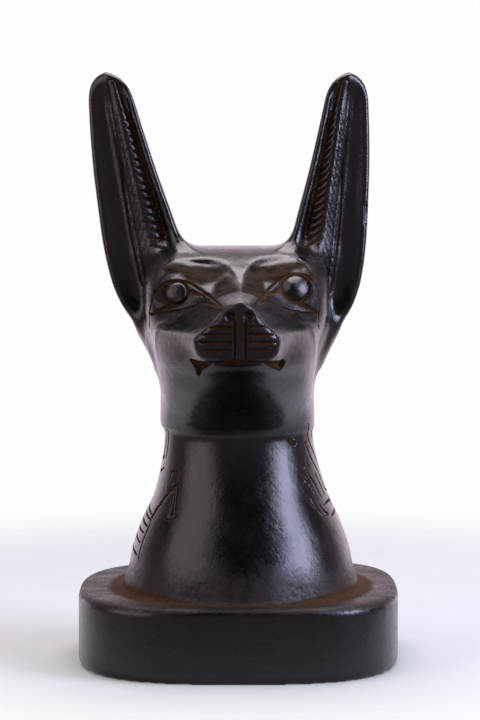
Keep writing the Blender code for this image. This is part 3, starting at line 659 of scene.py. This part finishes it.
def socket_depth(x, y, z):
    """How deep the face is hollowed round each eye, up to the ridge between the brows."""
    out, up = eye_frame(x, z)
    q = oval(out - SOCKET_AT[0], up - SOCKET_AT[1], *SOCKET_REACH, SOCKET_SQUARENESS)
    dish = 1 - smooth_step(*SOCKET_WALL, q / SOCKET_REACH[1] + 1)
    dish = dish * smooth_step(*SOCKET_FADES, up)
    inner = mix(1, SOCKET_OUTER_SHARE, smooth_step(*SOCKET_OUTER_SPAN, out))
    aside = (out - EYE_BULGE_AT[0]) / EYE_BULGE_REACH[0]
    above = (up - EYE_BULGE_AT[1]) / EYE_BULGE_REACH[1]
    bulge = np.clip(1 - aside**2 - above**2, 0, 1)
    return (SOCKET_DEPTH * dish * inner - EYE_BULGE * bulge) * smooth_step(*SOCKET_FRONTS, y)


def head_form(x, y, z):
    """Skull, jaw, muzzle and both ears, before the fine carving."""
    face_x, _ = face_frame(x, z)
    skull = skull_form(x - HEAD_SHIFT, y, z) + socket_depth(x, y, z)
    jaw = jaw_form(x - HEAD_SHIFT, y, z)
    head = smooth_min(skull, muzzle_form(face_x, y, z), MUZZLE_FILLET)
    behind_lips = smooth_step(-CHIN_REACH, -LIPS_END * CHIN_REACH, y)
    head = smooth_min(head, jaw, mix(JAW_EDGE_ROUNDING, CHEEK_FILLET, behind_lips))
    near_crown = smooth_step(CROWN_Z - 2 * EAR_CROWN_FILLET, CROWN_Z, z)
    fillet = mix(EAR_CHEEK_FILLET, EAR_CROWN_FILLET, near_crown)
    fillet = mix(fillet, EAR_FOOT_FILLET, smooth_step(*EAR_FOOT_ZS, z))
    for side in SIDES:
        head = smooth_min(head, ear_form(x, y, z, side), fillet)
    return head


def form(points):
    """Roughly the distance outside the carved surface at each point, less than 0 inside."""
    x, y, z = points.T
    value = smooth_min(neck_form(x, y, z), base_form(x, y, z), NECK_FOOT_FILLET)
    upper = z > JAW_EDGE_Z - 4 * JAW_EDGE_ROUNDING
    head = head_form(x[upper], y[upper], z[upper])
    value[upper] = smooth_min(head, value[upper], JAW_EDGE_ROUNDING)
    return value


def slope_of(points, value):
    """Which way the form rises at each point, and how fast."""
    slope = np.empty_like(points)
    for axis in range(3):
        moved = points.copy()
        moved[:, axis] += SLOPE_STEP
        slope[:, axis] = (form(moved) - value) / SLOPE_STEP
    return slope


def outward_at(points):
    """Distance outside the form, and the unit direction outwards, at each point."""
    value = form(points)
    slope = slope_of(points, value)
    steep = np.maximum(np.linalg.norm(slope, axis=1, keepdims=True), LEAST_SLOPE)
    return value / steep[:, 0], slope / steep


def meet(starts, way):
    """Where rays from these points first meet the form, going this way."""
    points = np.array(starts, float)
    for _ in range(RAY_STEPS):
        points += RAY_CAUTION * form(points)[:, None] * way
    return points


def smooth_line(points):
    """The points of a smooth line through these, a few to each span."""
    rows = [(i, *point) for i, point in enumerate(points)]
    at = np.linspace(0, len(points) - 1, LINE_PIECES * (len(points) - 1) + 1)
    return np.stack([curve_value(at, rows, column + 1) for column in range(len(points[0]))], 1)


def face_place(side, aside, up):
    """Points in front of the face, at these distances from its centre line and heights."""
    x = FACE_SHIFT + side * aside * (1 + side * -FACE_SKEW)
    return np.stack([x, np.full(x.shape, FRONT_START), up + face_tilt(up) * x], 1)


def ear_place(side, across, up):
    """Points in front of an ear, at these shares of its width and height."""
    axis = EAR_SPACING / 2 + up * EAR_HEIGHT * math.tan(EAR_LEANS[side])
    x = side * (axis + across * ear_reach(side, up, across))
    z = EAR_ROOT_Z + up * EAR_HEIGHT
    return np.stack([x, np.full(x.shape, FRONT_START / 4), z], 1)


def neck_way(side, degrees):
    """The level direction outwards from the neck's axis, so many degrees round from its side."""
    turn = np.radians(degrees)
    return np.stack([side * np.cos(turn), -np.sin(turn), np.zeros(len(turn))], 1)


def line_cut(line, width, depth, earth, shares):
    """A cut along a line of points. The shares say how its width runs from end to end."""
    places = np.linspace(0, 1, len(line))
    widths = width * np.interp(places, np.linspace(0, 1, len(shares)), shares)
    return {"line": line, "widths": widths, "depth": depth, "earth": earth}


def front_cuts(lines, place):
    """The cuts of a table's lines, whose points the place function puts in front of the form."""
    return [line_cut(meet(place(*smooth_line(points).T), FORWARD), *sizes)
            for *sizes, points in lines]


def face_cuts(side):
    """Lids, rims, whisker grooves and mouth, on one side of the face."""
    def by_eye(out, up):
        out, up = out * EYE_LENGTH, up * EYE_LENGTH
        scale = mix(1, EYE_SCALES[side], 1 - smooth_step(*EYE_SCALE_REACH, np.hypot(out, up)))
        return face_place(side, EYE_SPACING / 2 + out * scale, EYE_Z + up * scale)

    def on_muzzle(aside, up):
        return face_place(side, aside * MUZZLE_WIDTH / 2, MOUTH_Z + up * MUZZLE_HEIGHT)

    def on_mouth(aside, up):
        return face_place(side, aside * MOUTH_WIDTH / 2, MOUTH_Z + up)

    cuts = front_cuts(EYE_LINES, by_eye) + front_cuts(MUZZLE_LINES, on_muzzle)
    for up, reach in WHISKER_ROWS:
        aside = np.linspace(WHISKER_START, reach, WHISKER_POINTS)
        bow = up + WHISKER_BOW * np.linspace(-1, 1, WHISKER_POINTS) ** 2
        cuts.append(line_cut(meet(on_muzzle(aside, bow), FORWARD), *WHISKER))
    return cuts + front_cuts((LIP_LINE, LOWER_LIP, *NOTCHES[side]), on_mouth)


def ear_cuts(side):
    """The lines of an ear: the two long grooves, the ticks of the leaf and its fine strokes."""
    def on_ear(across, up):
        return ear_place(side, across, up)

    cuts = front_cuts(EAR_LINES, on_ear)
    for up in np.linspace(*TICK_SPANS[side], TICKS):
        across = np.linspace(curve_value(up, EAR_RIDGE, 1), TICK_END, TICK_POINTS)
        fall = np.linspace(0, TICK_DROPS[side], TICK_POINTS)
        cuts.append(line_cut(meet(on_ear(across, up - fall), FORWARD), *TICK))
    for up in np.linspace(*FEATHER_SPAN, TICKS):
        across = np.linspace(*FEATHER_REACH, TICK_POINTS)
        rise = np.linspace(0, FEATHER_RISE, TICK_POINTS)
        cuts.append(line_cut(meet(on_ear(across, up + rise), FORWARD), *FEATHER))
    return cuts + (front_cuts((CHIP,), on_ear) if side == 1 else [])


def neck_cuts(side):
    """The strokes in one side of the neck."""
    cuts = []
    for points in NECK_LINES[side]:
        degrees, up = smooth_line(points).T
        way = neck_way(side, degrees)
        starts = way * CHEST_WIDTH
        starts[:, 2] = BASE_HEIGHT + up * NECK_HEIGHT
        cuts.append(line_cut(meet(starts, -way), *NECK_STROKE))
    return cuts


def nearness(points, cut, margin):
    """Which points are within the margin of a cut's edge, and how far from its middle they are, as
    shares of half its width."""
    line, widths = cut["line"], cut["widths"]
    reach = widths.max() / 2 + margin
    low, high = line.min(0) - reach, line.max(0) + reach
    near = np.nonzero(((points > low) & (points < high)).all(1))[0]
    place = points[near]
    share = np.full(len(near), np.inf)
    for i in range(len(line) - 1):
        span = line[i + 1] - line[i]
        along = np.clip((place - line[i]) @ span / max(span @ span, 1e-12), 0, 1)
        off = np.linalg.norm(place - line[i] - along[:, None] * span, axis=1)
        share = np.minimum(share, off / (mix(widths[i], widths[i + 1], along) / 2))
    return near, share


def carve(points, cuts):
    """How deep the lines cut into each point, below 0 where they stand proud, and their earth."""
    depth, proud, earth = np.zeros((3, len(points)))
    for cut in cuts:
        near, share = nearness(points, cut, cut["widths"].max())
        shape = 1 - smooth_step(GROOVE_PROFILE, 1, share)
        if cut["depth"] > 0:
            depth[near] = np.maximum(depth[near], cut["depth"] * shape)
        else:
            proud[near] = np.maximum(proud[near], -cut["depth"] * shape)
        stain = cut["earth"] * (1 - smooth_step(*STAIN_PROFILE, share))
        earth[near] = np.maximum(earth[near], stain)
    return depth - proud, earth


def face_points(aside, up):
    """The point of the form on each side of the face, this far from its middle and this high."""
    return {side: meet(face_place(side, np.array([aside]), np.array([up])), FORWARD)[0]
            for side in SIDES}


def carve_irises(points, middles):
    """Each iris stands in a ring that is deepest at its outer wall."""
    depth, earth = np.zeros((2, len(points)))
    for side, middle in middles.items():
        radius = IRIS_RADII[side]
        wall = radius + IRIS_SLOPE_WIDTH
        off = distance(points, middle)
        ring = smooth_step(radius, wall, off) * (1 - smooth_step(wall, wall + IRIS_WALL_WIDTH, off))
        dome = np.clip(1 - (off / radius) ** 2, 0, 1)
        inwards, down = side * (middle[0] - points[:, 0]), middle[2] - points[:, 2]
        turned = IRIS_TURNS[side][0] * inwards + IRIS_TURNS[side][1] * down
        turned *= 1 - smooth_step(radius, wall, off)
        depth += IRIS_RING_DEPTH * ring - IRIS_DOMES[side] * dome + turned
        earth = np.maximum(earth, smooth_step(*RING_EARTH, ring))
    return depth, earth


def patch(across, up, middle, reach):
    """1 in the middle of an oval patch, falling to 0 at its edge."""
    return fall_off(np.hypot((across - middle[0]) / reach[0], (up - middle[1]) / reach[1]))


def crease_earth(x, y, z):
    """Earth that lies along the neck's foot, widest at the sides."""
    reach = mix(*FOOT_EARTH_WIDTHS, smooth_step(*FOOT_EARTH_SIDES, np.abs(x)))
    on_base = z > BASE_HEIGHT - BASE_TOP_ROUNDING / 2
    low = 1 - smooth_step(BASE_HEIGHT, BASE_HEIGHT + FOOT_EARTH_RISE * reach, z)
    return (1 - smooth_step(0, reach, neck_form(x, y, z))) * on_base * low


def settled_earth_and_eye_shade(points):
    """Earth in the hollows and as a film: eyes, whisker pad, ears, base and the neck's foot. Round
    the eyes it is laid on as painted shade as well, darkening the sockets.
    """
    x, y, z = points.T
    out, up = eye_frame(x, z)
    in_front = smooth_step(*EYE_EARTH_AND_SHADE_FRONTS, y) * smooth_step(*EYE_EARTH_AND_SHADE_ENDS, y)
    share = np.where(x < 0, EYE_EARTH_AND_SHADE_SHARES[-1], EYE_EARTH_AND_SHADE_SHARES[1])
    # round the eyes this earth doubles as painted shade that darkens the sockets
    layers = [strength * share * patch(out, up, middle, reach) * in_front
              for middle, reach, strength in EYE_EARTH_AND_SHADE]
    layers.append(patch(out, up, *EYE_FILM_AND_SHADE_PATCH) * EYE_FILM_AND_SHADE * share * in_front)
    on_pad = (y < PAD_DEPTH - NOSE_REACH) & (z > MOUTH_Z) & (z < NOSE_TOP_Z)
    layers.append(PAD_FILM * on_pad)
    low = 1 - smooth_step(BASE_HEIGHT + FILM_START, BASE_HEIGHT + FILM_HEIGHT, z)
    low *= smooth_step(BASE_HEIGHT - BASE_TOP_ROUNDING, BASE_HEIGHT - BASE_TOP_ROUNDING / 2, z)
    layers += [FILM_STRENGTH * low, crease_earth(x, y, z)]
    on_ears = smooth_step(EAR_SETBACK + EAR_SWEEP_BACK, EAR_SWEEP_BACK / 2, y)
    for side in SIDES:
        across, lift = ear_frame(x, z, side)
        at = across * 2 / EAR_WIDTHS[side], lift / EAR_HEIGHT
        root, leaf = patch(*at, *EAR_FOOT_PATCH), patch(*at, *LEAF_FILM_PATCH)
        lies = np.maximum(root * EAR_FOOT_EARTH, leaf * LEAF_FILM)
        layers.append(lies * on_ears * (lift > -EAR_HEIGHT / 8))
    return np.maximum(np.max(layers, axis=0), 0)


def vertex_points(mesh):
    points = np.empty(len(mesh.vertices) * 3)
    mesh.vertices.foreach_get("co", points)
    return points.reshape(-1, 3)


def edge_ends(mesh):
    """The two vertices of each edge."""
    ends = np.empty(len(mesh.edges) * 2, np.int64)
    mesh.edges.foreach_get("vertices", ends)
    return ends.reshape(-1, 2)


def move_vertices(mesh, points):
    mesh.vertices.foreach_set("co", points.ravel())
    mesh.update()


def settle(mesh, rounds):
    """Moves every vertex onto the form, and evens out their spacing along it."""
    points = vertex_points(mesh)
    count = len(points)
    a, b = edge_ends(mesh).T
    links = np.bincount(np.concatenate([a, b]), minlength=count)
    for turn in range(rounds):
        off, outward = outward_at(points)
        points = points - outward * np.clip(off, -VOXEL, VOXEL)[:, None]
        if turn < rounds - 2:
            near = np.stack([np.bincount(a, points[b, axis], count) for axis in range(3)], 1)
            near += np.stack([np.bincount(b, points[a, axis], count) for axis in range(3)], 1)
            shift = near / links[:, None] - points
            points += EVENING * (shift - outward * (shift * outward).sum(1, keepdims=True))
    move_vertices(mesh, points)


def refine(mesh, wanted):
    """Halves the edges whose middles are wanted."""
    chosen = wanted(vertex_points(mesh)[edge_ends(mesh)].mean(1))
    work = bmesh.new()
    work.from_mesh(mesh)
    work.edges.ensure_lookup_table()
    fine = [work.edges[i] for i in np.nonzero(chosen)[0]]
    bmesh.ops.subdivide_edges(work, edges=fine, cuts=1, use_grid_fill=True)
    bmesh.ops.triangulate(work, faces=[face for face in work.faces if len(face.verts) > 4])
    work.to_mesh(mesh)
    work.free()


def carved_statue(node):
    """The whole statue as one closed mesh, fine where it is carved."""
    cuts = [cut for side in SIDES for cut in face_cuts(side) + ear_cuts(side) + neck_cuts(side)]
    middles = face_points(EYE_SPACING / 2, EYE_Z)
    aside, up = NOSTRIL_AT
    nostrils = face_points(aside * MUZZLE_WIDTH / 2, MOUTH_Z + up * MUZZLE_HEIGHT)

    def near_cut(points, margin):
        found = np.zeros(len(points), bool)
        for cut in cuts:
            near, share = nearness(points, cut, margin)
            reach = 1 + 2 * margin / cut["widths"].max()
            found[near[share < reach]] = True
        for middle in (*middles.values(), *nostrils.values()):
            found |= distance(points, middle) < IRIS_RADII[1] + IRIS_SLOPE_WIDTH + margin
        return found

    def on_front(points):
        x, y, z = points.T
        face = (y < -HEAD_FRONT / 2) & (z > MOUTH_Z - MOUTH_HEIGHT / 4)
        ear = (z > EAR_ROOT_Z) & (np.abs(x) > EAR_SPACING / 4) & (y < EAR_SETBACK + EAR_SWEEP_BACK)
        return face | ear | near_cut(points, 2 * VOXEL)

    statue = bpy.data.objects.new("carved_statue", node.data.copy())
    bpy.context.scene.collection.objects.link(statue)
    skin = statue.modifiers.new("skin", "REMESH")
    skin.mode = "VOXEL"
    skin.voxel_size = VOXEL
    bpy.context.view_layer.objects.active = statue
    bpy.ops.object.modifier_apply(modifier=skin.name)
    settle(statue.data, FIRST_ROUNDS)
    refine(statue.data, on_front)
    settle(statue.data, LATER_ROUNDS)
    refine(statue.data, lambda points: near_cut(points, VOXEL / 4))
    settle(statue.data, LATER_ROUNDS)
    finish_carving(statue.data, cuts, middles, nostrils)
    return statue


def finish_carving(mesh, cuts, middles, nostrils):
    """Cuts the lines into the settled mesh, and writes how much earth lies at each vertex."""
    points = vertex_points(mesh)
    _, outward = outward_at(points)
    depth, earth = carve(points, cuts)
    ring_depth, ring_earth = carve_irises(points, middles)
    depth = np.where(depth > 0, np.maximum(depth, ring_depth), depth + ring_depth)
    in_lines = depth
    for middle in nostrils.values():
        hollow = fall_off(distance(points, middle) / NOSTRIL_RADIUS)
        depth = np.maximum(depth, NOSTRIL_DEPTH * hollow)
    # the earth includes the painted shade round the eyes
    earth = np.maximum(np.maximum(earth, ring_earth), settled_earth_and_eye_shade(points))
    for side, middle in middles.items():
        on_iris = distance(points, middle) < IRIS_RADII[side]
        earth[on_iris] = np.minimum(earth[on_iris], IRIS_EARTH)
    points -= outward * depth[:, None]
    points[np.abs(points[:, 2]) < VOXEL / 4, 2] = 0
    move_vertices(mesh, points)
    cut = np.maximum(np.clip(in_lines / FULL_CUT, 0, 1), CREASE_CUT * crease_earth(*points.T))
    for name, values in (("earth", earth), ("cut", cut)):
        layer = mesh.attributes.new(name, "FLOAT", "POINT")
        layer.data.foreach_set("value", values.astype(np.float32))
    mesh.shade_smooth()


def feed(tree, socket, source):
    """Wires an input to an output, or sets it to a value."""
    if isinstance(source, bpy.types.NodeSocket):
        tree.links.new(source, socket)
    else:
        socket.default_value = source


def link(tree, node, **sources):
    """Feeds the node's inputs by name, with _ for a space."""
    for name, source in sources.items():
        feed(tree, node.inputs[name.replace("_", " ")], source)
    return node


def add(tree, kind, **sources):
    return link(tree, tree.nodes.new("ShaderNode" + kind), **sources)


def attribute(tree, name):
    """The value that the mesh carries under this name."""
    made = add(tree, "Attribute")
    made.attribute_name = name
    return made.outputs["Fac"]


def noise(tree, place, scale, detail=4.0, stretch=(1, 1, 1)):
    """The height of a noise that has about this many bumps to the metre."""
    place = add(tree, "Mapping", Vector=place, Scale=stretch).outputs["Vector"]
    made = add(tree, "TexNoise", Vector=place, Scale=scale, Detail=detail)
    return link(tree, made, Roughness=NOISE_ROUGHNESS).outputs["Fac"]


def slanted_noise(tree, place, degrees, sizes):
    """A noise turned about the way that the face looks, for marks that run aslant."""
    turned = add(tree, "Mapping", Vector=place, Rotation=(0, math.radians(degrees), 0))
    return noise(tree, turned.outputs["Vector"], *sizes)


def between(tree, value, low, high, start=0.0, end=1.0):
    """The value taken smoothly from low and high to start and end."""
    made = add(tree, "MapRange", Value=value, From_Min=low, From_Max=high, To_Min=start, To_Max=end)
    made.interpolation_type = "SMOOTHSTEP"
    return made.outputs["Result"]


def maths(tree, operation, *sources):
    made = add(tree, "Math")
    made.operation = operation
    for socket, source in zip(made.inputs, sources):
        feed(tree, socket, source)
    return made.outputs[0]


def blend(tree, share, first, second):
    """A colour between two colours."""
    made = add(tree, "Mix")
    made.data_type = "RGBA"
    feed(tree, next(s for s in made.inputs if s.name == "Factor"), share)
    for name, source in (("A", first), ("B", second)):
        feed(tree, next(s for s in made.inputs if s.name == name and s.type == "RGBA"), source)
    return next(s for s in made.outputs if s.type == "RGBA")


def new_material(name):
    """A material, with its node tree, its shader and the place on the object."""
    material = bpy.data.materials.new(name)
    material.use_nodes = True
    tree = material.node_tree
    return material, tree, tree.nodes["Principled BSDF"], add(tree, "TexCoord").outputs["Object"]


def stone_material():
    """Black stone rubbed to a polish, with fine grain and marks, and brown earth in its cuts."""
    material, tree, shader, place = new_material("polished black stone")
    mottle, grain, rubbed, flecks, grime = (
        noise(tree, place, *sizes) for sizes in (MOTTLE, GRAIN, RUBBED, FLECKS, GRIME))
    rising, falling = (slanted_noise(tree, place, *marks) for marks in (RISING, FALLING))
    marks = maths(tree, "MULTIPLY", maths(tree, "ADD", rising, falling), 0.5)

    # the earth attribute is also painted shade round the eyes, where it darkens the sockets
    earth = attribute(tree, "earth")
    for uneven in (mottle, flecks):
        ragged = maths(tree, "MULTIPLY_ADD", uneven, EARTH_RAGGED, -EARTH_RAGGED / 2)
        earth = maths(tree, "ADD", earth, ragged)
    earth = maths(tree, "MULTIPLY", between(tree, earth, *EARTH_SHOWS), EARTH_COVER)

    stone = blend(tree, between(tree, mottle, *STONE_LIGHTENS), STONE_DARK, STONE_LIGHT)
    soil = blend(tree, between(tree, grime, *EARTH_LIGHTENS), EARTH_DARK, EARTH_LIGHT)
    bright = maths(tree, "MULTIPLY", attribute(tree, "cut"), between(tree, flecks, *CUTS_LIGHTEN))
    soil = blend(tree, bright, soil, EARTH_IN_CUTS)
    worn = maths(tree, "ADD", rubbed, marks)
    polish = between(tree, worn, *POLISH_WEARS, *STONE_ROUGHNESS)
    rough = maths(tree, "MULTIPLY", maths(tree, "SUBTRACT", EARTH_ROUGHNESS, polish), earth)
    dulled = maths(tree, "MULTIPLY", earth, STONE_GLOSS - EARTH_GLOSS)
    link(tree, shader, Base_Color=blend(tree, earth, stone, soil),
         Roughness=maths(tree, "ADD", polish, rough), IOR=STONE_IOR, Specular_Tint=STONE_SHEEN,
         Specular_IOR_Level=maths(tree, "SUBTRACT", STONE_GLOSS, dulled))

    height = 0.0
    for source, weight in zip((grain, marks, mottle, rubbed), BUMP_WEIGHTS):
        height = maths(tree, "ADD", height, maths(tree, "MULTIPLY", source, weight))
    bump = add(tree, "Bump", Height=height, Strength=BUMP_STRENGTH, Distance=BUMP_HEIGHT)
    link(tree, shader, Normal=bump.outputs["Normal"])
    return material


def paper_material():
    """Pale paper that thins out to nothing away from the statue."""
    material, tree, shader, place = new_material("pale paper")
    tone = blend(tree, noise(tree, place, PAPER_GRAIN), PAPER_DARK, PAPER_LIGHT)
    link(tree, shader, Base_Color=tone, Roughness=PAPER_ROUGHNESS)
    away = add(tree, "VectorMath")
    away.operation = "LENGTH"
    tree.links.new(place, away.inputs[0])
    link(tree, shader, Alpha=between(tree, away.outputs["Value"], *FLOOR_FADE, 1.0, 0.0))
    return material


def make_floor():
    bpy.ops.mesh.primitive_circle_add(
        vertices=FLOOR_SIDES, radius=FLOOR_FADE[1], fill_type="NGON", location=FLOOR_MIDDLE)
    floor = bpy.context.object
    floor.name = "floor"
    floor.data.materials.append(paper_material())


def make_world():
    """A pale room that is dark on the side that the camera looks from."""
    world = bpy.data.worlds.new("pale room")
    bpy.context.scene.world = world
    world.use_nodes = True
    tree = world.node_tree
    tree.nodes.clear()
    parts = add(tree, "SeparateXYZ", Vector=add(tree, "TexCoord").outputs["Generated"])
    forward = maths(tree, "MULTIPLY", parts.outputs["Y"], -1.0)
    bright = between(tree, parts.outputs["Z"], *ROOM_DIMS, ROOM_LIGHT, ROOM_LIGHT * ROOM_TOP)
    dark = between(tree, parts.outputs["Z"], *ROOM_DEEPENS, *ROOM_DARK)
    share = between(tree, forward, *ROOM_DARKENS)
    step = maths(tree, "MULTIPLY", share, maths(tree, "SUBTRACT", dark, bright))
    room = add(tree, "Background", Color=ROOM_COLOUR, Strength=maths(tree, "ADD", bright, step))
    seen = add(tree, "Background", Color=BACKDROP_COLOUR, Strength=1.0)
    mixed = add(tree, "MixShader", Fac=add(tree, "LightPath").outputs["Is Camera Ray"])
    tree.links.new(room.outputs[0], mixed.inputs[1])
    tree.links.new(seen.outputs[0], mixed.inputs[2])
    add(tree, "OutputWorld", Surface=mixed.outputs[0])


def make_lights():
    """Soft boxes round the statue, each aimed at the middle of it."""
    for name, azimuth, elevation, distance, width, height, power, colour in SOFT_BOXES:
        turn, lift = math.radians(azimuth), math.radians(elevation)
        level = math.cos(lift)
        way = Vector((math.sin(turn) * level, -math.cos(turn) * level, math.sin(lift)))
        data = bpy.data.lights.new(name, "AREA")
        data.shape = "RECTANGLE"
        data.size, data.size_y = width, height
        data.energy = power
        data.color = colour
        light = bpy.data.objects.new(name, data)
        bpy.context.scene.collection.objects.link(light)
        light.location = Vector(LIGHT_AIM) + way * distance
        light.rotation_euler = (-way).to_track_quat("-Z", "Y").to_euler()


def make_camera():
    data = bpy.data.cameras.new("camera")
    data.lens = LENS_MM
    data.sensor_width = SENSOR_MM
    camera = bpy.data.objects.new("camera", data)
    bpy.context.scene.collection.objects.link(camera)
    camera.location = CAMERA_AT
    way = Vector(CAMERA_AIM) - Vector(CAMERA_AT)
    camera.rotation_euler = way.to_track_quat("-Z", "Y").to_euler()
    bpy.context.scene.camera = camera


def main():
    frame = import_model()
    statue = carved_statue(frame["nodes"][NODE])
    statue.data.materials.clear()
    statue.data.materials.append(stone_material())
    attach(statue, "root")
    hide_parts(NODE)
    make_floor()
    make_world()
    make_lights()
    make_camera()
    bpy.context.scene.view_settings.view_transform = "Standard"


main()
